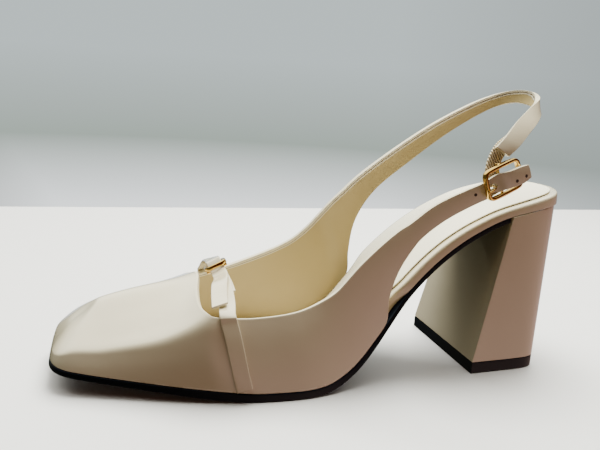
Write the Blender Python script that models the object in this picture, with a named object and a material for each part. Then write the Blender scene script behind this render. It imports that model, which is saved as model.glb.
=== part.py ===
"""Slingback block-heel shoe for the left foot, with a buckled instep strap.

The last lies along X: distance "along" runs from the toe tip to the back of the seat.
"Out" is the distance sideways from the long axis, lateral side at -Y and medial side at +Y.
Tables give lengths as shares of the named sizes below them.
"""
import math

import bmesh
import bpy
import numpy as np
from mathutils import Vector

MM = 0.001


def table(columns, *rows):
    """A table written with a row for each section, kept by its column names."""
    return dict(zip(columns.split(), zip(*rows)))


# Driving sizes of the last
LENGTH = 237 * MM
BALL_WIDTH = 78 * MM
SEAT_HEIGHT = 78 * MM
TOE_SPRING = 7.7 * MM
TOE_TIP = 4.2 * MM
INSTEP_RISE = 39.5 * MM

# Sole, insole and heel
SOLE_THICKNESS = 3.5 * MM
SOLE_END = 200.4 * MM
INSOLE_THICKNESS = 4.4 * MM
SOCK_THICKNESS = 0.6 * MM
SOCK_MARGIN = 3.4 * MM
INSOLE_TOE_GAP = 5.5 * MM
RAND_RADIUS = 1.4 * MM
HEEL_BREAST_TOP = 201.8 * MM
HEEL_BREAST_BASE = 187.8 * MM
HEEL_BACK_BASE = 225.5 * MM
HEEL_BASE_WIDTH = 59.6 * MM
HEEL_TOP_WIDTH = 52.4 * MM
HEEL_BACK_INSET = 1.2 * MM
HEEL_BACK_SHARE = 0.93
HEEL_BASE_SQUARENESS = 8
LIFT_THICKNESS = 5.4 * MM

# Upper, straps and fittings
UPPER_WALL = 2.2 * MM
FEATHER_INSET = 0.2 * MM
STRAP_WIDTH = 6.6 * MM
STRAP_FOOT = 0.05
STRAP_BEND = 0.92
STRAP_FOOT_ALONG = 0.338
STRAP_TOP_ALONG = 0.306
STRAP_THICKNESS = 1.1 * MM
SLING_HEIGHT = 129 * MM
ELASTIC_WIDTH = 6.4 * MM
ELASTIC_THICKNESS = 1.2 * MM
BAR_THICKNESS = 1.8 * MM
PRONG_RADIUS = 0.45 * MM
PRONG_DROP = 1.7 * MM
INSTEP_BUCKLE_LENGTH = 10.8 * MM
INSTEP_BUCKLE_WIDTH = 10.6 * MM
SLING_BUCKLE_LENGTH = 20.8 * MM
SLING_BUCKLE_WIDTH = 14.2 * MM
CLEARANCE = 0.3 * MM

# Places are shares of these three sizes: along of LENGTH, out of BALL_WIDTH, up of SLING_HEIGHT
SPAN = np.array([LENGTH, BALL_WIDTH, SLING_HEIGHT])
# Middle of each buckle, and the lean of their planes
INSTEP_BUCKLE = SPAN * (0.308, 0.045, 0.3473)
INSTEP_TILT = math.radians(27)
SLING_BUCKLE = SPAN * (0.7965, -0.425, 0.7085)
SLING_BUCKLE_AXIS = np.array([0.918, 0.217, 0.35])
TIP_SLANT = 0.6

# Plan of the sole: along as a share of LENGTH, each side as a share of BALL_WIDTH
PLAN = table(
    "along lateral medial",
    (0.1, 0.333, 0.362),
    (0.26, 0.473, 0.465),
    (0.32, 0.505, 0.481),
    (0.38, 0.524, 0.467),
    (0.43, 0.526, 0.436),
    (0.48, 0.506, 0.397),
    (0.52, 0.47, 0.364),
    (0.565, 0.428, 0.34),
    (0.65, 0.357, 0.312),
    (0.72, 0.337, 0.311),
    (0.86, 0.329, 0.324),
    (1, 0.329, 0.324))
TOE_CAP = 0.10
TOE_SHIFT = 0.038
TOE_SQUARENESS = 4.5
SEAT_CAP = 0.865
SEAT_SQUARENESS = 2.25

# Top line of the sole: spring is a share of TOE_SPRING, rise a share of the climb to the seat
PROFILE = table(
    "along spring rise",
    (0.01, 1, 0),
    (0.04, 0.86, 0),
    (0.26, 0.26, 0),
    (0.32, 0.09, 0),
    (0.36, 0, 0),
    (0.445, 0, 0),
    (0.475, 0, 0.005),
    (0.505, 0, 0.03),
    (0.53, 0, 0.07),
    (0.55, 0, 0.12),
    (0.6, 0, 0.305),
    (0.64, 0, 0.47),
    (0.72, 0, 0.71),
    (0.78, 0, 0.835),
    (0.85, 0, 0.932),
    (0.92, 0, 0.977),
    (1, 0, 1))
# Thickness of the sole and of the insole, as shares of their named thicknesses
SOLE_TAPER = table(
    "along share",
    (0.01, 0.63),
    (0.2, 0.8),
    (0.34, 1),
    (0.45, 1),
    (0.55, 0.7),
    (0.65, 0.57),
    (0.85, 0.57))
INSOLE_TAPER = table(
    "along share",
    (0.01, 0.55),
    (0.5, 0.6),
    (0.62, 1),
    (0.7, 1),
    (0.84, 0.86),
    (0.95, 1.15),
    (1, 1.25))
# Where the insole widens from inside the upper to the full edge of the seat
RAND_START = 0.625
RAND_FULL = 0.645

# Vamp, toe to throat: ridge is where wall turns to roof, "in" from the feather line as a
# share of BALL_WIDTH, "up" above it as a share of INSTEP_RISE; crest is the centre line
VAMP = table(
    "along lateral_in lateral_up medial_in medial_up crest_up crest_side crown",
    (0, 0.015, 0.07, 0.015, 0.07, 0.35, 0.038, 0.03),
    (0.05, 0.02, 0.11, 0.022, 0.132, 0.455, 0.038, 0.028),
    (0.1, 0.038, 0.24, 0.048, 0.319, 0.578, 0.04, 0.015),
    (0.15, 0.042, 0.34, 0.056, 0.446, 0.679, 0.048, 0.01),
    (0.2, 0.046, 0.45, 0.062, 0.538, 0.759, 0.056, 0.006),
    (0.24, 0.048, 0.59, 0.064, 0.61, 0.824, 0.064, 0.003),
    (0.28, 0.05, 0.75, 0.066, 0.688, 0.91, 0.077, 0))
THROAT = 0.28
THROAT_BOW = 3.6 * MM
THROAT_BOW_START = 0.2
CREST_START = 0.062
TOE_RIBS = 8
VAMP_RIBS = 8
WALL_STEPS = [2, 2, 2]
HALF_STEPS = WALL_STEPS + [2, 2, 3]
ROW_SPACING = 4.2 * MM

# Lateral quarter and its holed strap, throat to strap tip. Along is a share of LENGTH, out of
# BALL_WIDTH, up of SLING_HEIGHT; a low edge with up 0 stands on the feather line
LATERAL_QUARTER = table(
    "top_along top_out top_up low_along low_out low_up",
    (0.312, 0.441, 0.265, 0.316, 0, 0),
    (0.346, 0.445, 0.263, 0.354, 0, 0),
    (0.411, 0.45, 0.274, 0.435, 0, 0),
    (0.443, 0.445, 0.288, 0.479, 0, 0),
    (0.494, 0.431, 0.334, 0.553, 0, 0),
    (0.515, 0.425, 0.374, 0.582, 0, 0),
    (0.532, 0.419, 0.409, 0.602, 0.404, 0.222),
    (0.549, 0.414, 0.44, 0.599, 0.406, 0.29),
    (0.582, 0.402, 0.493, 0.614, 0.405, 0.397),
    (0.613, 0.393, 0.536, 0.64, 0.398, 0.474),
    (0.629, 0.39, 0.552, 0.653, 0.394, 0.503),
    (0.673, 0.386, 0.613, 0.697, 0.39, 0.564),
    (0.741, 0.394, 0.674, 0.758, 0.396, 0.624),
    (0.762, 0.406, 0.693, 0.775, 0.407, 0.64),
    (0.78, 0.43, 0.724, 0.793, 0.43, 0.668),
    (0.8, 0.454, 0.737, 0.811, 0.454, 0.684),
    (0.823, 0.451, 0.7535, 0.8345, 0.451, 0.698),
    (0.842, 0.44, 0.761, 0.852, 0.44, 0.719))
# Medial quarter running into the sling strap, which goes round the heel to its end
MEDIAL_QUARTER = table(
    "top_along top_out top_up low_along low_out low_up",
    (0.312, 0.4385, 0.259, 0.314, 0, 0),
    (0.346, 0.4475, 0.271, 0.352, 0, 0),
    (0.475, 0.406, 0.372, 0.498, 0, 0),
    (0.517, 0.392, 0.436, 0.561, 0, 0),
    (0.534, 0.388, 0.472, 0.587, 0, 0),
    (0.549, 0.384, 0.505, 0.6125, 0.362, 0.262),
    (0.561, 0.381, 0.531, 0.6125, 0.366, 0.326),
    (0.587, 0.374, 0.58, 0.62, 0.369, 0.453),
    (0.62, 0.367, 0.641, 0.652, 0.363, 0.568),
    (0.709, 0.346, 0.7705, 0.734, 0.342, 0.707),
    (0.789, 0.314, 0.873, 0.81, 0.308, 0.822),
    (0.8675, 0.259, 0.9565, 0.879, 0.25, 0.91),
    (0.903, 0.205, 0.986, 0.906, 0.196, 0.938),
    (0.93, 0.131, 1, 0.928, 0.122, 0.952),
    (0.949, 0.051, 0.995, 0.942, 0.04, 0.942),
    (0.948, -0.013, 0.981, 0.943, -0.026, 0.932),
    (0.931, -0.077, 0.967, 0.935, -0.103, 0.925),
    (0.903, -0.141, 0.948, 0.916, -0.179, 0.9085),
    (0.873, -0.212, 0.925, 0.891, -0.256, 0.887),
    (0.846, -0.269, 0.899, 0.868, -0.308, 0.862),
    (0.808, -0.346, 0.845, 0.833, -0.367, 0.811),
    (0.786, -0.373, 0.811, 0.813, -0.379, 0.7815))
WALL_BULGE = 0.032


def monotone(xs, ys, x):
    """Smooth curve through a table's points that never overshoots them."""
    xs = np.asarray(xs, float)
    ys = np.asarray(ys, float)
    if x <= xs[0]:
        return float(ys[0])
    if x >= xs[-1]:
        return float(ys[-1])
    steps = np.diff(xs)
    slopes = np.diff(ys) / steps
    tangents = np.zeros(len(xs))
    tangents[0] = slopes[0]
    tangents[-1] = slopes[-1]
    for i in range(1, len(xs) - 1):
        if slopes[i - 1] * slopes[i] > 0:
            before = 2 * steps[i] + steps[i - 1]
            after = steps[i] + 2 * steps[i - 1]
            tangents[i] = (before + after) / (before / slopes[i - 1] + after / slopes[i])
    i = int(np.searchsorted(xs, x) - 1)
    t = (x - xs[i]) / steps[i]
    value = ys[i] * (1 + 2 * t) * (1 - t) ** 2 + ys[i + 1] * t ** 2 * (3 - 2 * t)
    bend = tangents[i] * t * (1 - t) ** 2 + tangents[i + 1] * t ** 2 * (t - 1)
    return float(value + bend * steps[i])


def lookup(table, column, share):
    return monotone(table["along"], table[column], share)


def rounded_corner(start, corner, end, squareness, turn):
    """Point on a rounded corner; turn runs from 0 at start to 1 at end."""
    near = math.cos(turn * math.pi / 2) ** (2 / squareness) if turn < 1 else 0.0
    far = math.sin(turn * math.pi / 2) ** (2 / squareness) if turn > 0 else 0.0
    return start * near + end * far + (start + end - corner) * (1 - near - far)


def through(points, steps):
    """Smooth curve through points, with a number of steps for each span."""
    points = [np.asarray(p, float) for p in points]
    first = points[0] * 2 - points[1]
    last = points[-1] * 2 - points[-2]
    padded = [first] + points + [last]
    curve = []
    for i, count in enumerate(steps):
        a, b, c, d = padded[i:i + 4]
        knots = [0.0]
        for p, q in ((a, b), (b, c), (c, d)):
            knots.append(knots[-1] + max(np.linalg.norm(q - p), 1e-6) ** 0.5)
        for k in range(count):
            t = knots[1] + (knots[2] - knots[1]) * k / count
            curve.append(catmull(a, b, c, d, knots, t))
    curve.append(points[len(steps)])
    return curve


def catmull(a, b, c, d, knots, t):
    k0, k1, k2, k3 = knots
    ab = a * (k1 - t) / (k1 - k0) + b * (t - k0) / (k1 - k0)
    bc = b * (k2 - t) / (k2 - k1) + c * (t - k1) / (k2 - k1)
    cd = c * (k3 - t) / (k3 - k2) + d * (t - k2) / (k3 - k2)
    abc = ab * (k2 - t) / (k2 - k0) + bc * (t - k0) / (k2 - k0)
    bcd = bc * (k3 - t) / (k3 - k1) + cd * (t - k1) / (k3 - k1)
    return abc * (k2 - t) / (k2 - k1) + bcd * (t - k1) / (k2 - k1)


def sole_line(along):
    """Height of the sole's top line at a distance along."""
    share = along / LENGTH
    spring = TOE_SPRING * lookup(PROFILE, "spring", share)
    climb = (SEAT_HEIGHT - SOLE_THICKNESS) * lookup(PROFILE, "rise", share)
    return SOLE_THICKNESS + spring + climb


def sole_normal(along):
    """Unit direction square to the sole line, pointing up, in the XZ plane."""
    reach = 0.5 * MM
    slope = (sole_line(along + reach) - sole_line(along - reach)) / (2 * reach)
    return np.array([-slope, 0.0, 1.0]) / math.hypot(slope, 1)


def half_width(side, along):
    return BALL_WIDTH * lookup(PLAN, side, along / LENGTH)


def cap_point(side, turn, inset, toe, tip_gap=0.0):
    """Point (along, out) on the rounded toe or seat, in by an inset; turn 0 is the middle."""
    if toe:
        join, tip, squareness = TOE_CAP * LENGTH, TOE_TIP + max(inset, tip_gap), TOE_SQUARENESS
        middle = TOE_SHIFT * BALL_WIDTH * (1 if side == "medial" else -1)
    else:
        join, tip, squareness, middle = SEAT_CAP * LENGTH, LENGTH - inset, SEAT_SQUARENESS, 0.0
    wide = half_width(side, join) - inset
    reach = 2 * MM if toe else -2 * MM
    slope = (half_width(side, join + reach) - half_width(side, join)) / reach
    corner = np.array([tip, wide + slope * (tip - join)])
    return rounded_corner(np.array([tip, middle]), corner, np.array([join, wide]), squareness, turn)


def plan_stations(start, end, inset=0.0, spacing=4 * MM, tip_gap=0.0, cap_steps=9, first_turn=0.12):
    """Stations (along, lateral, medial) of the plan from start to end, in by an inset."""
    stations = []
    if start <= 0:
        for k in range(cap_steps):
            turn = first_turn + (1 - first_turn) * k / cap_steps
            lateral = cap_point("lateral", turn, inset, True, tip_gap)
            medial = cap_point("medial", turn, inset, True, tip_gap)
            stations.append((lateral[0], lateral[1], medial[1]))
        start = TOE_CAP * LENGTH
    seat = SEAT_CAP * LENGTH
    stop = min(end, seat)
    count = max(2, round((stop - start) / spacing))
    for k in range(count + 1):
        along = start + (stop - start) * k / count
        stations.append((along, half_width("lateral", along) - inset, half_width("medial", along) - inset))
    if end > seat:
        for k in range(1, cap_steps + 1):
            turn = 1 - (1 - first_turn) * k / cap_steps
            point = cap_point("lateral", turn, inset, False)
            stations.append((point[0], point[1], cap_point("medial", turn, inset, False)[1]))
    return stations


def material(name, colour, roughness, metallic=0.0):
    made = bpy.data.materials.new(name)
    made.use_nodes = True
    shader = made.node_tree.nodes["Principled BSDF"]
    shader.inputs["Base Color"].default_value = (*colour, 1.0)
    shader.inputs["Roughness"].default_value = roughness
    shader.inputs["Metallic"].default_value = metallic
    return made


def finish(name, shape, look, sharp_angle=40):
    """Turn a bmesh into an object with its material, faces out and smooth."""
    bmesh.ops.recalc_face_normals(shape, faces=shape.faces)
    mesh = bpy.data.meshes.new(name)
    shape.to_mesh(mesh)
    shape.free()
    mesh.shade_smooth()
    mesh.set_sharp_from_angle(angle=math.radians(sharp_angle))
    mesh.materials.append(look)
    piece = bpy.data.objects.new(name, mesh)
    bpy.context.collection.objects.link(piece)
    return piece


def loft(name, loops, look, closed=False, sharp_angle=40):
    """Solid skinned over closed loops of points, with flat ends unless it closes on itself."""
    shape = bmesh.new()
    rings = [[shape.verts.new(Vector(p)) for p in loop] for loop in loops]
    pairs = list(zip(rings, rings[1:]))
    if closed:
        pairs.append((rings[-1], rings[0]))
    for ring, following in pairs:
        for k in range(len(ring)):
            after = (k + 1) % len(ring)
            shape.faces.new((ring[k], ring[after], following[after], following[k]))
    if not closed:
        shape.faces.new(rings[0])
        shape.faces.new(rings[-1])
    return finish(name, shape, look, sharp_angle)


def slab_loop(station, under, over, radius, corner_steps=3):
    """Closed section square to the sole line, with its two upper edges rounded."""
    along, lateral, medial = station
    foot = np.array([along, 0.0, sole_line(along)])
    normal = sole_normal(along)
    outline = [(-lateral, under), (medial, under)]
    for k in range(corner_steps + 1):
        turn = math.pi / 2 * k / corner_steps
        outline.append((medial - radius * (1 - math.cos(turn)), over - radius * (1 - math.sin(turn))))
    for k in range(corner_steps + 1):
        turn = math.pi / 2 * (1 - k / corner_steps)
        outline.append((-lateral + radius * (1 - math.cos(turn)), over - radius * (1 - math.sin(turn))))
    return [foot + np.array([0.0, out, 0.0]) + normal * height for out, height in outline]


def taper(table, thickness, along):
    return thickness * monotone(table["along"], table["share"], along / LENGTH)


def outsole(look):
    loops = []
    for station in plan_stations(0, SOLE_END):
        thickness = taper(SOLE_TAPER, SOLE_THICKNESS, station[0])
        loops.append(slab_loop(station, -thickness, 0.0, 0.2 * MM, 1))
    return loft("outsole", loops, look)


def inner_margin(along):
    """How far the insole stays inside the plan: inside the upper in front, none at the seat."""
    share = (along / LENGTH - RAND_START) / (RAND_FULL - RAND_START)
    share = min(max(share, 0.0), 1.0)
    inside = UPPER_WALL + 4 * CLEARANCE
    return inside * (1 - share * share * (3 - 2 * share))


def insole_stations(margin):
    stations = []
    gap = INSOLE_TOE_GAP + margin
    for along, lateral, medial in plan_stations(0, LENGTH, margin, tip_gap=gap):
        inside = inner_margin(along)
        stations.append((along, lateral - inside, medial - inside))
    return stations


def insole_board(look):
    loops = []
    for station in insole_stations(0.0):
        thickness = taper(INSOLE_TAPER, INSOLE_THICKNESS, station[0])
        radius = min(RAND_RADIUS, 0.45 * thickness)
        loops.append(slab_loop(station, CLEARANCE, CLEARANCE + thickness, radius))
    return loft("insole_board", loops, look)


def insole_sock(look):
    loops = []
    for station in insole_stations(SOCK_MARGIN):
        under = 2 * CLEARANCE + taper(INSOLE_TAPER, INSOLE_THICKNESS, station[0])
        loops.append(slab_loop(station, under, under + SOCK_THICKNESS, 0.2 * MM, 1))
    return loft("insole_sock", loops, look)


def heel_side(level, turn):
    """Plan of the heel block at a level from 0 (base) to 1 (top); turn 0 is the breast corner."""
    base = rounded_corner(
        np.array([HEEL_BREAST_BASE, HEEL_BASE_WIDTH / 2]),
        np.array([HEEL_BACK_BASE, HEEL_BASE_WIDTH * HEEL_BACK_SHARE / 2]),
        np.array([HEEL_BACK_BASE, 0.0]), HEEL_BASE_SQUARENESS, turn)
    back = LENGTH - HEEL_BACK_INSET
    top = rounded_corner(
        np.array([HEEL_BREAST_TOP, HEEL_TOP_WIDTH / 2]),
        np.array([back, HEEL_TOP_WIDTH / 2]),
        np.array([back, 0.0]), SEAT_SQUARENESS, turn)
    return base * (1 - level) + top * level, top


def heel_loop(level, floor, steps=14):
    """Closed section of the heel, following the seat at level 1 and flat at level 0."""
    side = [heel_side(level, k / steps) for k in range(steps + 1)]
    path = [(point[0], -point[1], top[0]) for point, top in side]
    path += [(point[0], point[1], top[0]) for point, top in reversed(side[:-1])]
    loop = []
    for along, out, top_along in path:
        height = floor * (1 - level) + sole_line(top_along) * level
        loop.append(np.array([along, out, height]))
    return loop


def heel_block(look):
    floor = LIFT_THICKNESS + CLEARANCE
    levels = [k / 6 for k in range(7)]
    return loft("heel_block", [heel_loop(level, floor) for level in levels], look, sharp_angle=30)


def heel_top_lift(look):
    loops = []
    for height in (0.0, LIFT_THICKNESS):
        loop = heel_loop(0.0, height)
        loops.append(loop)
    return loft("heel_top_lift", loops, look, sharp_angle=30)


def wall_curve(foot, top, beyond):
    """Side wall from the feather line or low edge up to its top, slightly bulged outwards."""
    lean = top - foot
    outward = np.array([foot[0] - beyond[0], foot[1] - beyond[1], 0.0])
    outward /= max(np.linalg.norm(outward), 1e-9)
    bulge = outward * WALL_BULGE * np.linalg.norm(lean)
    lower = foot + lean * 0.35 + bulge
    upper = foot + lean * 0.75 + bulge * 0.85
    return [foot, lower, upper, top]


def vamp_row(share, turn):
    """One rib of the vamp for each side, feather line to crest; turn is below 1 round the toe."""
    start = CREST_START * LENGTH
    crest_along = share * LENGTH if turn >= 1 else start + (TOE_CAP * LENGTH - start) * turn
    crest = np.array([crest_along, BALL_WIDTH * lookup(VAMP, "crest_side", share),
                      sole_line(crest_along) + INSTEP_RISE * lookup(VAMP, "crest_up", share)])
    crown = np.array([0.0, 0.0, INSTEP_RISE * lookup(VAMP, "crown", share)])
    halves = []
    for side, sign in (("lateral", -1), ("medial", 1)):
        if turn < 1:
            along, out = cap_point(side, turn, FEATHER_INSET, True)
        else:
            along, out = share * LENGTH, half_width(side, share * LENGTH) - FEATHER_INSET
        foot = np.array([along, sign * out, sole_line(along) + CLEARANCE])
        inward = np.array([crest[0] - foot[0], crest[1] - foot[1], 0.0])
        inward /= np.linalg.norm(inward)
        ridge = foot + inward * BALL_WIDTH * lookup(VAMP, side + "_in", share)
        ridge[2] += INSTEP_RISE * lookup(VAMP, side + "_up", share)
        roof = crest - ridge
        wall = wall_curve(foot, ridge, crest)
        halves.append((wall, [ridge + roof * 0.2 + crown * 0.6, ridge + roof * 0.6 + crown]))
    (lateral_wall, lateral_roof), (medial_wall, medial_roof) = halves
    bow = THROAT_BOW * max(0.0, (share - THROAT_BOW_START) / (THROAT - THROAT_BOW_START)) ** 2
    for near_ridge, near_crest in (lateral_roof, medial_roof):
        near_ridge[0] -= bow
        near_crest[0] -= bow * 0.8
    crest[0] -= bow * 0.15
    rib = lateral_wall + lateral_roof + [crest] + medial_roof[::-1] + medial_wall[::-1]
    curve = through(rib, HALF_STEPS + HALF_STEPS[::-1])
    middle = sum(HALF_STEPS)
    return curve[:middle + 1], curve[middle:][::-1]


def quarter_rows(table, side, first_row):
    """Ribs of a quarter and its strap, each from the low edge to the top line, and which stand
    on the feather line."""
    sign = -1 if side == "lateral" else 1
    knots = [np.concatenate((first_row[0], first_row[-1]))]
    grounded = [True]
    for i, low_up in enumerate(table["low_up"]):
        along = LENGTH * table["low_along"][i]
        foot = [along, sign * BALL_WIDTH * table["low_out"][i], SLING_HEIGHT * low_up]
        if low_up == 0:
            foot = feather_point(side, along)
        top = [LENGTH * table["top_along"][i], sign * BALL_WIDTH * table["top_out"][i],
               SLING_HEIGHT * table["top_up"][i]]
        knots.append(np.array([*foot, *top]))
        grounded.append(low_up == 0)
    steps = []
    resting = [True]
    for i, (knot, following) in enumerate(zip(knots, knots[1:])):
        reach = max(np.linalg.norm(following[:3] - knot[:3]), np.linalg.norm(following[3:] - knot[3:]))
        steps.append(max(2, round(reach / ROW_SPACING)))
        resting += [grounded[i] and grounded[i + 1]] * (steps[-1] - 1) + [grounded[i + 1]]
    edges = through(knots, steps)
    rows = [first_row]
    stands = [True]
    for k in range(1, len(edges)):
        foot, top = edges[k][:3], edges[k][3:]
        stand = resting[k]
        if stand:
            foot = np.array(feather_point(side, foot[0]))
        forward = edges[min(k + 1, len(edges) - 1)][3:] - edges[k - 1][3:]
        inward = np.array([-forward[1], forward[0], 0.0]) * -sign
        beyond = foot + inward / np.linalg.norm(inward) * BALL_WIDTH
        rows.append(through(wall_curve(foot, top, beyond), WALL_STEPS))
        stands.append(stand)
    return rows, stands


def feather_point(side, along):
    """Where the upper meets the sole's edge."""
    sign = -1 if side == "lateral" else 1
    return [along, sign * (half_width(side, along) - FEATHER_INSET), sole_line(along) + CLEARANCE]


def upper_sheet():
    """Outer skin of the upper as one open sheet: vamp, both quarters and the sling strap."""
    shape = bmesh.new()
    feather = set()

    def skin(rows, stands):
        grid = [[shape.verts.new(Vector(p)) for p in row] for row in rows]
        for row, following in zip(grid, grid[1:]):
            for k in range(len(row) - 1):
                shape.faces.new((row[k], row[k + 1], following[k + 1], following[k]))
        feather.update(row[0].co.to_tuple(6) for row, stand in zip(grid, stands) if stand)

    ribs = [vamp_row(TOE_CAP * k / TOE_RIBS, k / TOE_RIBS) for k in range(TOE_RIBS)]
    ribs += [vamp_row(TOE_CAP + (THROAT - TOE_CAP) * k / VAMP_RIBS, 1) for k in range(VAMP_RIBS + 1)]
    wall = sum(WALL_STEPS) + 1
    for half in (0, 1):
        skin([rib[half] for rib in ribs], [True] * len(ribs))
    for half, (side, table) in enumerate((("lateral", LATERAL_QUARTER), ("medial", MEDIAL_QUARTER))):
        skin(*quarter_rows(table, side, ribs[-1][half][:wall]))
    bmesh.ops.remove_doubles(shape, verts=shape.verts, dist=MM / 1000)
    bmesh.ops.recalc_face_normals(shape, faces=shape.faces)
    highest = max((f for f in shape.faces if f.calc_center_median().x < THROAT * LENGTH / 2),
                  key=lambda f: f.calc_center_median().z)
    if highest.normal.z < 0:
        bmesh.ops.reverse_faces(shape, faces=shape.faces)
    shape.normal_update()
    return shape, feather


def upper(look):
    """The skin with an even wall inside it; on the feather line the wall is cut level."""
    shape, feather = upper_sheet()
    inwards = {}
    for vert in shape.verts:
        key = vert.co.to_tuple(6)
        inward = -vert.normal
        if key in feather:
            inward = Vector((inward.x, inward.y, 0.0)).normalized()
            inwards[key] = inward * UPPER_WALL
        else:
            inwards[key] = inward * UPPER_WALL * min(vert.calc_shell_factor(), 1.3)
    grown = bmesh.ops.extrude_face_region(shape, geom=shape.faces[:], use_keep_orig=True)
    for vert in grown["geom"]:
        if isinstance(vert, bmesh.types.BMVert):
            vert.co += inwards[vert.co.to_tuple(6)]
    return finish("upper", shape, look)


def ribbon_ring(centre, across, normal, width, thickness, edge):
    """Closed section of a strap or bar: a rectangle with its corners taken off."""
    wide, deep = width / 2, thickness / 2
    corners = ((wide, deep - edge), (wide - edge, deep), (edge - wide, deep), (-wide, deep - edge),
               (-wide, edge - deep), (edge - wide, -deep), (wide - edge, -deep), (wide, edge - deep))
    return [centre + across * a + normal * b for a, b in corners]


def unit(vector):
    return vector / np.linalg.norm(vector)


def strap(name, controls, width, thickness, look, steps=3, slant=0.0):
    """Strap along control points, each with the direction its width runs in; slant cuts its tip."""
    path = through([point for point, _ in controls], [steps] * (len(controls) - 1))
    rings = []
    for k, point in enumerate(path):
        before = path[max(k - 1, 0)]
        after = path[min(k + 1, len(path) - 1)]
        tangent = unit(after - before)
        span = min(k // steps, len(controls) - 2)
        share = k / steps - span
        across = controls[span][1] * (1 - share) + controls[span + 1][1] * share
        across = unit(across - tangent * float(across @ tangent))
        rings.append(ribbon_ring(point, across, np.cross(across, tangent), width, thickness, 0.25 * MM))
    rings[-1] = [spot - tangent * slant * float((spot - point) @ across) for spot in rings[-1]]
    return loft(name, rings, look, sharp_angle=50)


def buckle_frame(name, centre, length_axis, width_axis, length, width, depth, look):
    """Rounded rectangular frame lying in the plane of its two axes."""
    along, across = unit(length_axis), unit(width_axis)
    facing = np.cross(along, across)
    half_long = (length - BAR_THICKNESS) / 2
    half_wide = (width - BAR_THICKNESS) / 2
    radius = 1.4 * BAR_THICKNESS
    rings = []
    for quarter in range(4):
        turn = quarter * math.pi / 2
        side_long = 1 if quarter in (0, 3) else -1
        side_wide = 1 if quarter in (0, 1) else -1
        for k in range(4):
            angle = turn + math.pi / 2 * k / 3
            outward = along * math.cos(angle) + across * math.sin(angle)
            middle = along * side_long * (half_long - radius) + across * side_wide * (half_wide - radius)
            rings.append(ribbon_ring(centre + middle + outward * radius, outward, facing,
                                     BAR_THICKNESS, depth, 0.35 * MM))
    return loft(name, rings, look, closed=True, sharp_angle=50)


def round_bar(name, start, end, radius, look, segments=10):
    shape = bmesh.new()
    lean = Vector(end) - Vector(start)
    turned = lean.to_track_quat("Z", "Y").to_matrix().to_4x4()
    turned.translation = (Vector(start) + Vector(end)) / 2
    bmesh.ops.create_cone(shape, cap_ends=True, segments=segments, radius1=radius, radius2=radius,
                          depth=lean.length, matrix=turned)
    return finish(name, shape, look, 50)


def join(piece, other):
    """Make another body part of a piece, leaving one closed solid."""
    other.hide_render = True
    other.display_type = "WIRE"
    union = piece.modifiers.new(other.name, "BOOLEAN")
    union.operation = "UNION"
    union.solver = "EXACT"
    union.object = other


def wall_rows(side, table):
    throat = vamp_row(THROAT, 1)[0 if side == "lateral" else 1]
    return quarter_rows(table, side, throat[:sum(WALL_STEPS) + 1])[0]


def on_wall(rows, row, column, lift):
    """Point off the outside of a quarter, and the direction running back along it."""
    r = min(int(row), len(rows) - 2)
    c = min(int(column), len(rows[0]) - 2)
    u, v = row - r, column - c
    near = rows[r][c] * (1 - v) + rows[r][c + 1] * v
    far = rows[r + 1][c] * (1 - v) + rows[r + 1][c + 1] * v
    low = rows[r][c] * (1 - u) + rows[r + 1][c] * u
    high = rows[r][c + 1] * (1 - u) + rows[r + 1][c + 1] * u
    back = unit(far - near)
    outward = unit(np.cross(back, high - low))
    if outward[1] * near[1] < 0:
        outward = -outward
    return near * (1 - u) + far * u + outward * lift, back


def strap_on_wall(side, table):
    """Control points of an instep strap up the outside of a quarter, to just over its top line."""
    rows = wall_rows(side, table)
    count = range(len(rows))
    foot_row = np.interp(STRAP_FOOT_ALONG * LENGTH, [row[0][0] for row in rows], count)
    top_row = np.interp(STRAP_TOP_ALONG * LENGTH, [row[-1][0] for row in rows], count)
    top = len(rows[0]) - 1
    lift = CLEARANCE + STRAP_THICKNESS / 2
    controls = []
    for k in range(5):
        up = STRAP_FOOT + (STRAP_BEND - STRAP_FOOT) * k / 4
        row = foot_row + (top_row - foot_row) * up
        controls.append(on_wall(rows, row, top * up, lift))
    edge, back = on_wall(rows, top_row, top, 0.0)
    outward = np.array([0.0, math.copysign(1, edge[1]), 0.0])
    upward = np.array([0.0, 0.0, 1.0])
    controls.append((edge + (outward + 0.7 * upward) * lift, back))
    controls.append((edge - outward * UPPER_WALL / 2 + upward * lift * 2.1, back))
    return controls


def instep_place(along_strap, height, sideways=0.0):
    """Place given in the instep buckle's own axes: along the strap, off its plane, across it."""
    back = np.array([math.cos(INSTEP_TILT), 0.0, math.sin(INSTEP_TILT)])
    off = np.array([-math.sin(INSTEP_TILT), 0.0, math.cos(INSTEP_TILT)])
    return INSTEP_BUCKLE + np.array([0.0, along_strap, 0.0]) + off * height + back * sideways


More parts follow.
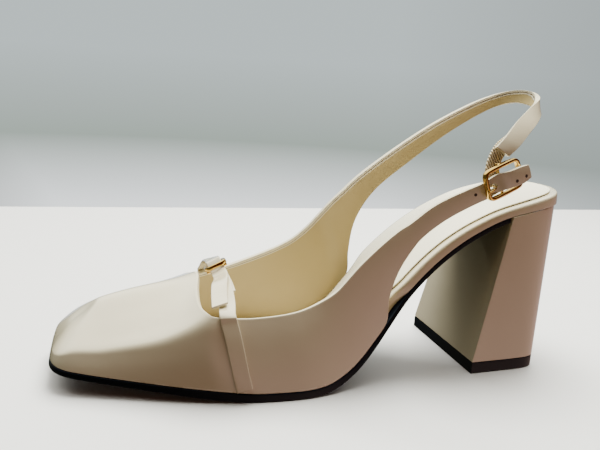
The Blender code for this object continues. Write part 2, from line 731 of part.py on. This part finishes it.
def instep_straps(look, metal):
    """Buckle over the instep with the outer strap round its middle bar and the inner one through it."""
    back = instep_place(0, 0, 1.0) - instep_place(0, 0)
    half = (INSTEP_BUCKLE_LENGTH - BAR_THICKNESS) / 2
    bar_deep = 1.2 * BAR_THICKNESS
    layer = 1.45 * (STRAP_THICKNESS + CLEARANCE)
    reach = bar_deep / 2 + CLEARANCE + STRAP_THICKNESS / 2
    wrap = 0.42 * BAR_THICKNESS + 1.5 * CLEARANCE + STRAP_THICKNESS / 2
    front_bar, far_bar, middle_bar = 0.5 * BAR_THICKNESS, -0.6 * BAR_THICKNESS, -1.0 * BAR_THICKNESS
    slope = (far_bar - front_bar) / (2 * half)
    tilted = instep_place(1, slope) - instep_place(0, 0)
    frame = buckle_frame("instep_buckle", instep_place(0, (front_bar + far_bar) / 2), tilted, back,
                         INSTEP_BUCKLE_LENGTH, INSTEP_BUCKLE_WIDTH, bar_deep, metal)
    side = INSTEP_BUCKLE_WIDTH / 2 - 0.25 * BAR_THICKNESS
    join(frame, round_bar("instep_middle_bar", instep_place(0, middle_bar, -side),
                          instep_place(0, middle_bar, side), 0.42 * BAR_THICKNESS, metal))
    under = front_bar - 1.3 * reach
    outer = [(instep_place(place, height), back) for place, height in (
        (-2.1 * half, under - 1.5 * layer),
        (-1.2 * half, under - layer),
        (-0.8 * half, under - 0.95 * layer),
        (0.0, middle_bar + wrap),
        (0.75 * wrap, middle_bar + 0.66 * wrap),
        (wrap, middle_bar),
        (0.75 * wrap, middle_bar - 0.66 * wrap),
        (0.0, middle_bar - wrap),
        (-1.2 * half, under - 2 * layer),
        (-2.1 * half, under - 2.6 * layer))]
    level = np.array([1.0, 0.0, 0.0])
    outer.append((INSTEP_BUCKLE + SPAN * (0.0127, -0.2310, -0.0550), unit(back + level)))
    rise = strap_on_wall("lateral", LATERAL_QUARTER)
    rise.append((INSTEP_BUCKLE + SPAN * (0.0042, -0.3590, -0.0600), unit(back + 2 * level)))
    rise.append((INSTEP_BUCKLE + SPAN * (0.0063, -0.2372, -0.0400), unit(back + level)))
    strap("instep_strap_lateral", rise + outer, STRAP_WIDTH, STRAP_THICKNESS, look)
    inner = strap_on_wall("medial", MEDIAL_QUARTER)
    inner.append((INSTEP_BUCKLE + SPAN * (0.0025, 0.3077, -0.0403), unit(back + 2 * level)))
    inner.append((INSTEP_BUCKLE + SPAN * (0.0008, 0.1795, -0.0093), unit(back + level)))
    for place, height in ((half, far_bar + 1.1 * reach), (0.0, middle_bar + wrap + layer),
                          (-0.8 * half, under), (-1.2 * half, under), (-2.1 * half, under - 0.5 * layer)):
        inner.append((instep_place(place, height), back))
    inner.append((INSTEP_BUCKLE + SPAN * (-0.0040, -0.2372, -0.0217), unit(back + 2 * level)))
    inner.append((INSTEP_BUCKLE + SPAN * (-0.0100, -0.3526, -0.0380), level))
    inner.append((INSTEP_BUCKLE + SPAN * (-0.0130, -0.4400, -0.0500), level))
    strap("instep_strap_medial", inner, STRAP_WIDTH, STRAP_THICKNESS, look, slant=TIP_SLANT)


def sling_place(along_strap, across_strap=0.0, outwards=0.0):
    """Place given in the sling buckle's own axes."""
    along = unit(SLING_BUCKLE_AXIS)
    across = unit(np.array([-along[2], 0.0, along[0]]))
    return SLING_BUCKLE + along * along_strap + across * across_strap + np.cross(along, across) * outwards


def sling_fittings(metal, fabric, skin):
    """Buckle, prong and elastic that join the end of the sling strap to the holed front strap."""
    along = sling_place(1.0) - sling_place(0.0)
    across = sling_place(0.0, 1.0) - sling_place(0.0)
    depth = 1.4 * BAR_THICKNESS
    frame = buckle_frame("sling_buckle", SLING_BUCKLE, along, across, SLING_BUCKLE_LENGTH,
                         SLING_BUCKLE_WIDTH, depth, metal)
    side = SLING_BUCKLE_WIDTH / 2 - 0.3 * BAR_THICKNESS
    sunk = -1.3 * BAR_THICKNESS
    reach = side + 0.2 * BAR_THICKNESS
    join(frame, round_bar("sling_middle_bar", sling_place(0, -reach, sunk), sling_place(0, reach, sunk),
                          0.4 * BAR_THICKNESS, metal))
    for end, name in ((-side, "sling_low_post"), (side, "sling_top_post")):
        join(frame, round_bar(name, sling_place(0, end, sunk), sling_place(0, end), 0.42 * BAR_THICKNESS, metal))

    left = -(SLING_BUCKLE_LENGTH - BAR_THICKNESS) / 2
    hole = left * 0.49
    over = depth / 2 + CLEARANCE + PRONG_RADIUS
    prong = [sling_place(left * place, -PRONG_DROP, over * height) for place, height in (
        (0.44, -1.2), (0.49, -0.15), (0.62, 0.6), (0.82, 1.0), (1.1, 1.0))]
    rings = []
    path = through(prong, [3] * (len(prong) - 1))
    for k, point in enumerate(path):
        tangent = unit(path[min(k + 1, len(path) - 1)] - path[max(k - 1, 0)])
        facing = np.cross(across, tangent)
        rings.append([point + (across * math.cos(t) + facing * math.sin(t)) * PRONG_RADIUS
                      for t in (math.pi * j / 4 for j in range(8))])
    loft("sling_prong", rings, metal)
    cutter = round_bar("prong_hole", sling_place(hole, -PRONG_DROP, -3 * BAR_THICKNESS),
                       sling_place(hole, -PRONG_DROP, 2 * BAR_THICKNESS), 3 * PRONG_RADIUS, metal, 12)
    cutter.hide_render = True
    cutter.display_type = "WIRE"
    cut = skin.modifiers.new("prong_hole", "BOOLEAN")
    cut.operation = "DIFFERENCE"
    cut.solver = "EXACT"
    cut.object = cutter

    rows = wall_rows("medial", MEDIAL_QUARTER)
    wrap = BAR_THICKNESS / 2 + CLEARANCE + ELASTIC_THICKNESS / 2
    under = UPPER_WALL + 2 * CLEARANCE + ELASTIC_THICKNESS / 2
    controls = []
    for row in (-4, -1):
        low, top = rows[row][0], rows[row][-1]
        inward = unit(np.cross(unit(rows[row][-1] - rows[row][0]), unit(rows[row - 1][0] - rows[row][0])))
        if inward[1] < 0:
            inward = -inward
        controls.append(((low + top) / 2 + inward * under, unit(low - top)))
    for place, up, inwards in ((0.15, 3.0, 0.8), (0.06, -2.0, 0.4)):
        spot = sling_place(place * left, up * MM, sunk - wrap - inwards * MM)
        controls.append((spot, along))
    strap("sling_elastic", controls, ELASTIC_WIDTH, ELASTIC_THICKNESS, fabric, steps=4)


def centre_on_floor():
    """Stand the shoe with the middle of its footprint over the origin."""
    pieces = [piece for piece in bpy.data.objects if not piece.hide_render]
    points = np.array([vert.co for piece in pieces for vert in piece.data.vertices])
    low, high = points.min(axis=0), points.max(axis=0)
    for piece in bpy.data.objects:
        piece.location = (-(low[0] + high[0]) / 2, -(low[1] + high[1]) / 2, -low[2])


def main():
    for old in list(bpy.data.objects):
        bpy.data.objects.remove(old, do_unlink=True)
    patent = material("patent cream", (0.74, 0.68, 0.58), 0.12)
    wrap = material("wrapped cream", (0.76, 0.71, 0.61), 0.3)
    footbed = material("footbed cream", (0.80, 0.76, 0.67), 0.5)
    black = material("black sole", (0.012, 0.012, 0.014), 0.45)
    elastic = material("elastic", (0.62, 0.54, 0.40), 0.7)
    gold = material("polished gold", (0.90, 0.66, 0.28), 0.15, 1.0)
    outsole(black)
    insole_board(wrap)
    insole_sock(footbed)
    heel_block(patent)
    heel_top_lift(black)
    skin = upper(patent)
    instep_straps(patent, gold)
    sling_fittings(gold, elastic, skin)
    centre_on_floor()


main()
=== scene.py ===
"""Looks of the slingback shoe: patent upper, lining, footbed, covered heel, straps and fittings."""

import math

import bmesh
import bpy
from mathutils import Matrix, Vector
from mathutils.bvhtree import BVHTree
from mathutils.kdtree import KDTree


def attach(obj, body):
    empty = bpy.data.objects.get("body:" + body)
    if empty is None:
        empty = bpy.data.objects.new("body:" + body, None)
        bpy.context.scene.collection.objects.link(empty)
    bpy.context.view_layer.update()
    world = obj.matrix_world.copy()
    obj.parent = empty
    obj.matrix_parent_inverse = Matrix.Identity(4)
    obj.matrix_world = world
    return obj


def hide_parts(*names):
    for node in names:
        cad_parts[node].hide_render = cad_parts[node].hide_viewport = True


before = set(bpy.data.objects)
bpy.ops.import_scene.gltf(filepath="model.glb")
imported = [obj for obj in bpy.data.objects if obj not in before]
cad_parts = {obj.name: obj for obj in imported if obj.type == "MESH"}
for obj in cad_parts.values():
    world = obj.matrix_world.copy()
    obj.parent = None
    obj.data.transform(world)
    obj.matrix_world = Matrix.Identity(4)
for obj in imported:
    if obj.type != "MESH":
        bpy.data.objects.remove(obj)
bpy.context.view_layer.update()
MM = 0.001


# Camera at the photograph's angle
SENSOR_WIDTH = 36.0
NEAREST = 0.01
CAMERA_PLACE = Vector((-0.09152, -0.26654, 0.12780))
CAMERA_YAW = 0.29479
CAMERA_PITCH = 0.22514
CAMERA_ROLL = 0.06562
FOCAL_SHARE = 640.2 / 600


def add_camera():
    ahead = Vector((math.sin(CAMERA_YAW) * math.cos(CAMERA_PITCH),
                    math.cos(CAMERA_YAW) * math.cos(CAMERA_PITCH), -math.sin(CAMERA_PITCH)))
    level = Vector((math.cos(CAMERA_YAW), -math.sin(CAMERA_YAW), 0.0))
    above = level.cross(ahead)
    right = level * math.cos(CAMERA_ROLL) + above * math.sin(CAMERA_ROLL)
    up = above * math.cos(CAMERA_ROLL) - level * math.sin(CAMERA_ROLL)
    lens = bpy.data.cameras.new("camera")
    lens.sensor_width = SENSOR_WIDTH
    lens.lens = SENSOR_WIDTH * FOCAL_SHARE
    lens.clip_start = NEAREST
    camera = bpy.data.objects.new("camera", lens)
    bpy.context.scene.collection.objects.link(camera)
    place = Matrix((right, up, -ahead)).transposed().to_4x4()
    place.translation = CAMERA_PLACE
    camera.matrix_world = place
    bpy.context.scene.camera = camera


# Node writing
class Wire:
    """An output socket that takes part in plain arithmetic."""

    def __init__(self, look, socket):
        self.look = look
        self.socket = socket

    def math(self, operation, *others):
        return self.look.node("ShaderNodeMath", {"operation": operation}, dict(enumerate((self, *others))))

    def __add__(self, other):
        return self.math("ADD", other)

    def __mul__(self, other):
        return self.math("MULTIPLY", other)

    def __sub__(self, other):
        return self.math("SUBTRACT", other)

    def __rsub__(self, other):
        return self.look.node("ShaderNodeMath", {"operation": "SUBTRACT"}, {0: other, 1: self})

    def clamp(self):
        return self.look.node("ShaderNodeClamp", {}, {0: self})


class Look:
    """A material or world whose nodes are written as expressions."""

    def __init__(self, name, owner=None):
        self.owner = owner or bpy.data.materials.new(name)
        self.owner.use_nodes = True
        self.tree = self.owner.node_tree
        self.shader = self.tree.nodes.get("Principled BSDF") or self.tree.nodes.get("Background")

    def node(self, kind, settings, inputs, output=0):
        made = self.tree.nodes.new(kind)
        for setting, value in settings.items():
            setattr(made, setting, value)
        for key, value in inputs.items():
            self.feed(made.inputs[key], value)
        return Wire(self, made.outputs[output])

    def feed(self, socket, value):
        if isinstance(value, Wire):
            self.tree.links.new(value.socket, socket)
        elif isinstance(value, tuple) and socket.type == "RGBA":
            socket.default_value = (*value, 1.0) if len(value) == 3 else value
        else:
            socket.default_value = value

    def set(self, **inputs):
        for key, value in inputs.items():
            self.feed(self.shader.inputs[key.replace("_", " ")], value)

    def place(self):
        return self.node("ShaderNodeTexCoord", {}, {}, "Object")

    def noise(self, scale, detail=2.0, roughness=0.5, stretch=None):
        where = self.place()
        if stretch:
            where = self.node("ShaderNodeMapping", {}, {"Vector": where, "Scale": stretch})
        return self.node("ShaderNodeTexNoise", {},
                         {"Vector": where, "Scale": scale, "Detail": detail, "Roughness": roughness})

    def cells(self, scale):
        return self.node("ShaderNodeTexVoronoi", {"feature": "SMOOTH_F1"},
                         {"Vector": self.place(), "Scale": scale, "Smoothness": 0.6})

    def blend(self, share, low, high):
        return self.node("ShaderNodeMix", {"data_type": "RGBA"}, {0: share, 6: low, 7: high}, 2)

    def bump(self, height, depth, strength=1.0, under=None):
        inputs = {"Height": height, "Distance": depth, "Strength": strength}
        if under:
            inputs["Normal"] = under
        return self.node("ShaderNodeBump", {}, inputs)


# Scales are in repeats a metre, depths of relief in metres
CLOUD_SCALE = 22.0
SWELL_SCALE = 95.0
SWELL_DEPTH = 0.35 * MM
PEEL_SCALE = 900.0
PEEL_DEPTH = 0.02 * MM
MARKS_SCALE = 60.0
COAT_ROUGHNESS = 0.025


def patent(name, tone, deep, gloss=0.07):
    """Patent leather: a clear coat over smooth dyed leather, with a faint swell and finger marks."""
    look = Look(name)
    cloud = look.noise(CLOUD_SCALE, 3.0)
    swell = look.noise(SWELL_SCALE, 2.0, 0.45)
    peel = look.noise(PEEL_SCALE, 2.0, 0.5)
    marks = look.noise(MARKS_SCALE, 6.0, 0.7)
    look.set(Base_Color=look.blend((cloud * 1.6 - 0.3).clamp(), deep, tone),
             Roughness=(marks - 0.45).clamp() * 0.35 + gloss,
             Coat_Weight=1.0,
             Normal=look.bump(peel, PEEL_DEPTH, 0.5, look.bump(swell, SWELL_DEPTH, 0.55)))
    look.shader.inputs["Coat Roughness"].default_value = COAT_ROUGHNESS
    look.shader.inputs["IOR"].default_value = 1.5
    return look.owner


GRAIN_SCALE = 1400.0
GRAIN_DEPTH = 0.06 * MM
FINE_SCALE = 2400.0
RUB_SCALE = 30.0


def grained(name, tone, deep, roughness, scale=GRAIN_SCALE, depth=GRAIN_DEPTH):
    """Fine-grained leather with rubbed places."""
    look = Look(name)
    cells = look.cells(scale)
    cloud = look.noise(RUB_SCALE, 4.0, 0.6)
    fine = look.noise(FINE_SCALE, 3.0, 0.6)
    look.set(Base_Color=look.blend((cloud * 1.8 - 0.4).clamp(), deep, tone),
             Roughness=(cloud * 0.25 + (roughness - 0.12)).clamp(),
             Normal=look.bump(cells * 0.7 + fine * 0.3, depth, 0.6))
    return look.owner


# Border of the lining, as distances from its edge, and how fast each line starts, in parts a metre
GROOVE_START = 0.9 * MM
GROOVE_END = 1.4 * MM
PIPING_END = 1.9 * MM
PIPING_RISE = 0.3 * MM
LINING_GRAIN = 0.01 * MM
GROOVE_SHARPNESS = 7000.0
PIPING_SHARPNESS = 6000.0


def bordered(name, tone, deep, light, groove_shade):
    """Lining with a turned edge, a groove painted dark as its shade, and a raised piping along its border.
    """
    look = Look(name)
    away = look.node("ShaderNodeAttribute", {"attribute_name": "edge_distance"}, {}, "Fac")
    cells = look.cells(GRAIN_SCALE)
    cloud = look.noise(RUB_SCALE, 4.0, 0.6)
    inside = ((away - PIPING_END) * PIPING_SHARPNESS).clamp()
    begun = ((away - GROOVE_START) * GROOVE_SHARPNESS).clamp()
    # The groove dips in the bump and is also painted dark as the shade inside it
    groove = begun * ((GROOVE_END - away) * GROOVE_SHARPNESS).clamp()
    field = look.blend((cloud * 1.8 - 0.4).clamp(), deep, tone)
    look.set(Base_Color=look.blend(groove, look.blend(inside, light, field), groove_shade),
             Roughness=(cloud * 0.25 + inside * 0.12 + 0.18).clamp(),
             Normal=look.bump(1.0 - groove - inside * 0.4, PIPING_RISE, 0.7,
                              look.bump(cells * inside, LINING_GRAIN, 0.2)))
    return look.owner


SCUFF_SCALE = 180.0
SCUFF_STRETCH = (1.0, 3.0, 3.0)
SCUFF_DEPTH = 0.1 * MM
TREAD_SCALE = 1600.0
TREAD_DEPTH = 0.05 * MM


def sole_black():
    """Black sole, rubbed along its length."""
    look = Look("black_sole")
    scuff = look.noise(SCUFF_SCALE, 8.0, 0.75, SCUFF_STRETCH)
    fine = look.noise(TREAD_SCALE, 3.0)
    worn = ((scuff - 0.58) * 6.0).clamp()
    look.set(Base_Color=look.blend(worn, (0.0005, 0.003, 0.009), (0.008, 0.009, 0.012)),
             Roughness=worn * 0.2 + 0.42,
             Normal=look.bump(fine, TREAD_DEPTH, 0.5, look.bump(scuff, SCUFF_DEPTH, 0.4)))
    look.shader.inputs["Specular IOR Level"].default_value = 0.15
    return look.owner


SCRATCH_SCALE = 420.0
SCRATCH_DEPTH = 0.03 * MM
WEAR_SCALE = 90.0


def gold():
    """Gilt metal with fine scratches and worn places."""
    look = Look("gold_metal")
    marks = look.noise(SCRATCH_SCALE, 6.0, 0.7)
    wear = look.noise(WEAR_SCALE, 3.0)
    look.set(Base_Color=look.blend((wear * 1.4 - 0.2).clamp(), (0.55, 0.34, 0.08), (0.80, 0.56, 0.20)),
             Roughness=marks * 0.16 + 0.08,
             Metallic=1.0,
             Normal=look.bump(marks, SCRATCH_DEPTH, 0.35))
    return look.owner


# Ribs cross the elastic, which runs in the plane of x and z
RIB_RUN = (0.9, 0.44)
RIB_TURNS = 5200.0
RIB_DEPTH = 0.35 * MM
WEAVE_SCALE = 2600.0


def ribbed():
    """Elastic with fine ribs."""
    look = Look("elastic_band")
    where = look.node("ShaderNodeSeparateXYZ", {}, {0: look.place()})
    x, z = where, Wire(look, where.socket.node.outputs[2])
    ribs = ((x * RIB_RUN[0] + z * RIB_RUN[1]) * RIB_TURNS).math("SINE") * 0.5 + 0.5
    weave = look.noise(WEAVE_SCALE, 2.0)
    look.set(Base_Color=look.blend(ribs, (0.30, 0.22, 0.11), (0.72, 0.62, 0.44)),
             Roughness=0.62,
             Normal=look.bump(ribs + weave * 0.4, RIB_DEPTH, 0.9))
    return look.owner


# Colours: the main tone, then the deeper one in its clouds
PATENT = patent("patent_cream", (0.68, 0.62, 0.46), (0.65, 0.58, 0.42))
HEEL = patent("heel_cream", (0.68, 0.61, 0.46), (0.64, 0.565, 0.415), 0.09)
# The lining's last colour is the painted shade of the groove along its border
LINING = bordered("lining_cream", (0.54, 0.43, 0.21), (0.49, 0.385, 0.175),
                  (0.78, 0.73, 0.58), (0.16, 0.11, 0.06))
EDGE = grained("edge_cream", (0.72, 0.66, 0.50), (0.66, 0.60, 0.44), 0.3, 1800.0, 0.03 * MM)
WRAP = patent("rand_cream", (0.72, 0.66, 0.48), (0.68, 0.61, 0.43), 0.16)
FOOTBED = grained("footbed_cream", (0.92, 0.88, 0.72), (0.88, 0.83, 0.66), 0.42, 1100.0, 0.08 * MM)
BLACK = sole_black()
GOLD = gold()
ELASTIC = ribbed()
# Dark discs laid over the strap's holes are painted shade standing in for the inside of each hole
HOLE_SHADE = grained("painted_hole_shade", (0.05, 0.035, 0.025), (0.03, 0.02, 0.015), 0.7)


# Shapes
MERGE_DISTANCE = 0.004 * MM
FLAT_PAIR = math.radians(50)
SKEW_PAIR = math.radians(70)


def cad_copy(node):
    """A merged copy of a CAD node's mesh, with its flat pairs of triangles joined."""
    shape = bmesh.new()
    shape.from_mesh(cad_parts[node].data)
    bmesh.ops.remove_doubles(shape, verts=shape.verts, dist=MERGE_DISTANCE)
    bmesh.ops.join_triangles(shape, faces=shape.faces, angle_face_threshold=FLAT_PAIR,
                             angle_shape_threshold=SKEW_PAIR)
    return shape


def sharp_edges(shape, degrees):
    limit = math.radians(degrees)
    return [e for e in shape.edges if len(e.link_faces) == 2 and e.calc_face_angle(0.0) > limit]


def soften(shape, degrees, offset, segments=2):
    bmesh.ops.bevel(shape, geom=sharp_edges(shape, degrees), offset=offset, segments=segments,
                    affect="EDGES", profile=0.5, material=-1, clamp_overlap=True)


def settle(name, shape, looks, node, levels):
    """Finish a piece: its object at the origin, smooth, riding on the shoe."""
    mesh = bpy.data.meshes.new(name)
    shape.to_mesh(mesh)
    shape.free()
    mesh.shade_smooth()
    for look in looks:
        mesh.materials.append(look)
    piece = bpy.data.objects.new(name, mesh)
    bpy.context.scene.collection.objects.link(piece)
    smooth = piece.modifiers.new("smooth", "SUBSURF")
    smooth.levels = smooth.render_levels = levels
    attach(piece, "root")
    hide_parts(node)


def regions(shape, degrees):
    """Groups of faces that meet without a sharp edge between them."""
    sharp = set(sharp_edges(shape, degrees))
    left = set(shape.faces)
    groups = []
    while left:
        group = []
        queue = [left.pop()]
        while queue:
            face = queue.pop()
            group.append(face)
            for edge in face.edges:
                if edge in sharp:
                    continue
                for other in edge.link_faces:
                    if other in left:
                        left.remove(other)
                        queue.append(other)
        groups.append(group)
    return sorted(groups, key=lambda g: -sum(f.calc_area() for f in g))


def simple_piece(name, node, look, slot, degrees, offset, levels):
    """A piece that follows its CAD node, with its sharp edges rounded."""
    shape = cad_copy(node)
    soften(shape, degrees, offset)
    settle(name, shape, [look], node, levels)


# Pieces that follow one CAD node. Columns: name, node, look, slot, angle of the edges that are rounded in
# degrees, their rounding, levels of smoothing
SIMPLE_PIECES = (
    ("sole_edge", "outsole", BLACK, "black_sole", 40, 0.25 * MM, 1),
    ("footbed_rand", "insole_board", WRAP, "wrapped_leather", 50, 0.30 * MM, 1),
    ("footbed_lining", "insole_sock", FOOTBED, "footbed_leather", 40, 0.15 * MM, 1),
    ("covered_heel", "heel_block", HEEL, "patent_leather", 35, 0.80 * MM, 2),
    ("heel_tip", "heel_top_lift", BLACK, "black_sole", 35, 0.35 * MM, 2),
    ("outer_instep_strap", "instep_strap_lateral", PATENT, "patent_leather", 30, 0.12 * MM, 1),
    ("inner_instep_strap", "instep_strap_medial", PATENT, "patent_leather", 30, 0.12 * MM, 1),
    ("instep_fastener", "instep_buckle", GOLD, "gold_metal", 60, 0.15 * MM, 1),
    ("sling_fastener", "sling_buckle", GOLD, "gold_metal", 60, 0.15 * MM, 1),
    ("sling_tongue", "sling_prong", GOLD, "gold_metal", 60, 0.10 * MM, 1),
    ("gathered_elastic", "sling_elastic", ELASTIC, "elastic_band", 30, 0.10 * MM, 1),
)


# Soft creases: start, end, half width, depth; a negative depth is a ridge
CREASES = (
    (Vector((-0.060, -0.030, 0.032)), Vector((-0.090, -0.020, 0.027)), 7 * MM, 0.55 * MM),
    (Vector((-0.056, -0.036, 0.026)), Vector((-0.075, -0.034, 0.020)), 6 * MM, -0.35 * MM),
    (Vector((-0.030, -0.040, 0.022)), Vector((-0.022, -0.041, 0.012)), 8 * MM, 0.30 * MM),
    (Vector((0.005, -0.034, 0.030)), Vector((-0.004, -0.038, 0.014)), 9 * MM, 0.35 * MM),
)
# Punched holes of the front strap: middle x and z
HOLES = ((0.0575, 0.0842), (0.0738, 0.0912), (0.0784, 0.0934))
HOLE_RADIUS = 0.75 * MM
HOLE_LIFT = 0.03 * MM
HOLE_RIM = 0.02 * MM

# The upper: angle in degrees that parts its skins, rounding of its edges, places of its looks, points kept
# on each edge of the lining's border, and the way out of the skin that its creases are pressed against
SKIN_ANGLE = 55
EDGE_ROUNDING = 0.3 * MM
OUTSIDE, INSIDE, RIM, HOLE_SHADE_SLOT = range(4)
BORDER_STEPS = 16
PRESS_WAY = Vector((0.0, -0.6, 0.8))


def measure_border(shape, skin):
    """Keep each point's distance from the lining's border, for its piping and groove."""
    inside = set(skin)
    border = [e for e in shape.edges if len(set(e.link_faces) & inside) == 1]
    tree = KDTree(len(border) * BORDER_STEPS)
    for i, edge in enumerate(border):
        first, last = (v.co for v in edge.verts)
        for k in range(BORDER_STEPS):
            tree.insert(first.lerp(last, k / BORDER_STEPS), i * BORDER_STEPS + k)
    tree.balance()
    layer = shape.verts.layers.float.new("edge_distance")
    for vert in shape.verts:
        vert[layer] = tree.find(vert.co)[2]


def press(shape, start, end, half_width, depth):
    """Push the skin in along a soft line."""
    run = end - start
    shape.normal_update()
    for vert in shape.verts:
        share = min(max((vert.co - start).dot(run) / run.length_squared, 0.0), 1.0)
        away = (vert.co - start - run * share).length / half_width
        vert.co -= PRESS_WAY * depth * math.exp(-away * away)


def punch(shape, tree, x, z):
    """Dark disc with a low rim on the outer side of the front strap, painted as the shade inside a punched
    hole.
    """
    spot, normal, _, _ = tree.ray_cast(Vector((x, -1.0, z)), Vector((0.0, 1.0, 0.0)))
    turned = normal.to_track_quat("Z", "Y").to_matrix().to_4x4()
    turned.translation = spot + normal * HOLE_LIFT
    made = bmesh.ops.create_circle(shape, cap_ends=True, segments=12, radius=HOLE_RADIUS, matrix=turned)
    face = made["verts"][0].link_faces[0]
    if face.normal.dot(normal) < 0:
        face.normal_flip()
    face.material_index = HOLE_SHADE_SLOT
    bmesh.ops.inset_region(shape, faces=[face], thickness=HOLE_RADIUS * 0.3, depth=HOLE_RIM)


def shoe_upper():
    """The upper: patent outside, lining inside, and a paler cut edge between them."""
    shape = cad_copy("upper")
    groups = regions(shape, SKIN_ANGLE)
    skins = sorted(groups[:2], key=lambda g: sum(f.normal.z * f.calc_area() for f in g))
    for face in shape.faces:
        face.material_index = RIM
    for face in skins[0]:
        face.material_index = INSIDE
    for face in skins[1]:
        face.material_index = OUTSIDE
    for crease in CREASES:
        press(shape, *crease)
    measure_border(shape, skins[0])
    soften(shape, SKIN_ANGLE, EDGE_ROUNDING, 1)
    tree = BVHTree.FromBMesh(shape)
    for x, z in HOLES:
        punch(shape, tree, x, z)
    settle("shoe_upper", shape, [PATENT, LINING, EDGE, HOLE_SHADE], "upper", 2)


# Stage
FLOOR_HALF = 0.75
FLOOR_MIDDLE = (0.1, -0.41, 0.0)
FLOOR_TONES = ((0.80, 0.80, 0.815), (0.83, 0.83, 0.845))
FLOOR_CLOUD_SCALE = 6.0


def add_stage():
    shape = bmesh.new()
    bmesh.ops.create_grid(shape, x_segments=1, y_segments=1, size=FLOOR_HALF)
    bmesh.ops.translate(shape, verts=shape.verts, vec=FLOOR_MIDDLE)
    mesh = bpy.data.meshes.new("floor")
    shape.to_mesh(mesh)
    shape.free()
    look = Look("pale_floor")
    cloud = look.noise(FLOOR_CLOUD_SCALE, 2.0)
    look.set(Base_Color=look.blend(cloud, *FLOOR_TONES), Roughness=0.5)
    mesh.materials.append(look.owner)
    floor = bpy.data.objects.new("floor", mesh)
    bpy.context.scene.collection.objects.link(floor)
    floor.visible_diffuse = False
    floor.visible_glossy = False


# A soft square light over the far side of the shoe
LIGHT_PLACE = Vector((0.10, 0.22, 0.75))
LIGHT_AIM = Vector((0.02, 0.0, 0.0))
LIGHT_SIDE = 0.5
LIGHT_POWER = 19.5
LIGHT_COLOUR = (1.0, 1.0, 0.90)


def add_light():
    lamp = bpy.data.lights.new("top_soft", "AREA")
    lamp.shape = "RECTANGLE"
    lamp.size = lamp.size_y = LIGHT_SIDE
    lamp.energy = LIGHT_POWER
    lamp.color = LIGHT_COLOUR
    light = bpy.data.objects.new("top_soft", lamp)
    turned = (LIGHT_AIM - LIGHT_PLACE).to_track_quat("-Z", "Y").to_matrix().to_4x4()
    light.matrix_world = Matrix.Translation(LIGHT_PLACE) @ turned
    light.visible_glossy = False
    bpy.context.scene.collection.objects.link(light)


# Colours of the studio. The backdrop is beyond the shoe, the room on the camera's side of it
BACKDROP_FOOT = (1.45, 1.52, 1.55)
BACKDROP_MIDDLE = (0.46, 0.54, 0.49)
BACKDROP_TOP = (0.66, 0.75, 0.76)
BACKDROP_RIGHT = (0.36, 0.41, 0.41)
UNDER_SHOE = (0.14, 0.12, 0.09)
ROOM_UPPER = (0.075, 0.018, 0.004)
ROOM_LOWER = (1.55, 1.05, 0.90)
ROOM_LEFT = (0.11, 0.10, 0.06)
CEILING = (3.0, 2.98, 2.65)


def add_world():
    """Studio whose colour depends on the direction alone: x right, y away from the camera, z up."""
    world = bpy.data.worlds.new("studio")
    bpy.context.scene.world = world
    look = Look("studio", world)
    ways = look.node("ShaderNodeSeparateXYZ", {},
                     {0: look.node("ShaderNodeTexCoord", {}, {}, "Generated")})
    x, y, z = (Wire(look, ways.socket.node.outputs[k]) for k in (0, 1, 2))
    far = (y * 1.6 + 0.5 - x * x * 0.7 - x * x.clamp() * 0.7).clamp()
    backdrop = look.blend((z * 10.0 + 2.0).clamp(), BACKDROP_FOOT, BACKDROP_MIDDLE)
    backdrop = look.blend((z * 8.0 + 0.8).clamp(), backdrop, BACKDROP_TOP)
    backdrop = look.blend((x * 2.2 - 0.9).clamp(), backdrop, BACKDROP_RIGHT)
    backdrop = look.blend(((z + 0.28) * -6.0).clamp(), backdrop, UNDER_SHOE)
    room = look.blend((z * -2.0).clamp(), ROOM_UPPER, ROOM_LOWER)
    left = (x * -4.0 - 0.9 - z * 3.0).clamp()
    beside = look.blend(left, look.blend(far, room, backdrop), ROOM_LEFT)
    above = ((z - 0.80 + far * 0.55) * 3.0).clamp()
    look.set(Color=look.blend(above, beside, CEILING), Strength=1.0)


add_camera()
add_world()
add_stage()
add_light()

shoe_upper()
for row in SIMPLE_PIECES:
    simple_piece(*row)
